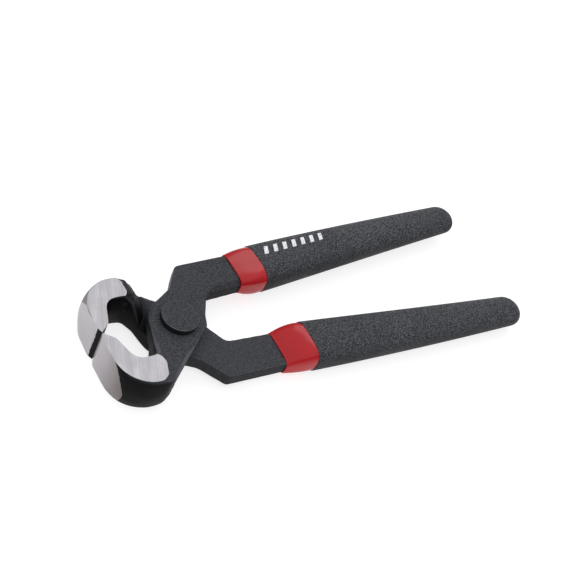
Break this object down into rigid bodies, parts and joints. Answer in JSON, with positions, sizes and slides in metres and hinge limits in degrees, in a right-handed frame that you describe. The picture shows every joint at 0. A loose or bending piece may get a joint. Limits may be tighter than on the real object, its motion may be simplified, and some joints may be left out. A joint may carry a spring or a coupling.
{
  "type": "carpenter's pincers",
  "caption": "Lap-jointed hand pincers for pulling nails and nipping wire: curved claws meet edge to edge, worked by long dipped handles.",
  "frame": {"origin": "on the pivot axis, at the plane the tool lies on: the flat rear rivet head and the ground side faces of both jaws", "axes": "+X along the tool from the jaws towards the handles, +Y from the rear lever's handle to the front lever's, +Z along the pivot, out of the front rivet head"},
  "size_m": [0.1993, 0.0706, 0.0157],
  "materials": {
    "forged_steel": "matte black coating; jaws ground bare",
    "rivet_steel": "matte black coating",
    "red_dip": "gloss",
    "black_grip": "grainy matte"
  },
  "bodies": {
    "rear": {"rear_lever": "forged_steel", "pivot_rivet": "rivet_steel", "rear_sleeve": "red_dip", "rear_grip": "black_grip"},
    "front": {"front_lever": "forged_steel", "front_sleeve": "red_dip", "front_grip": "black_grip"}
  },
  "joints": [
    {"name": "pivot", "type": "hinge", "parent": "rear", "child": "front", "pos_m": [0, 0, 0.0076], "axis": [0, 0, 1], "range_deg": [-0.4, 37.2]}
  ]
}
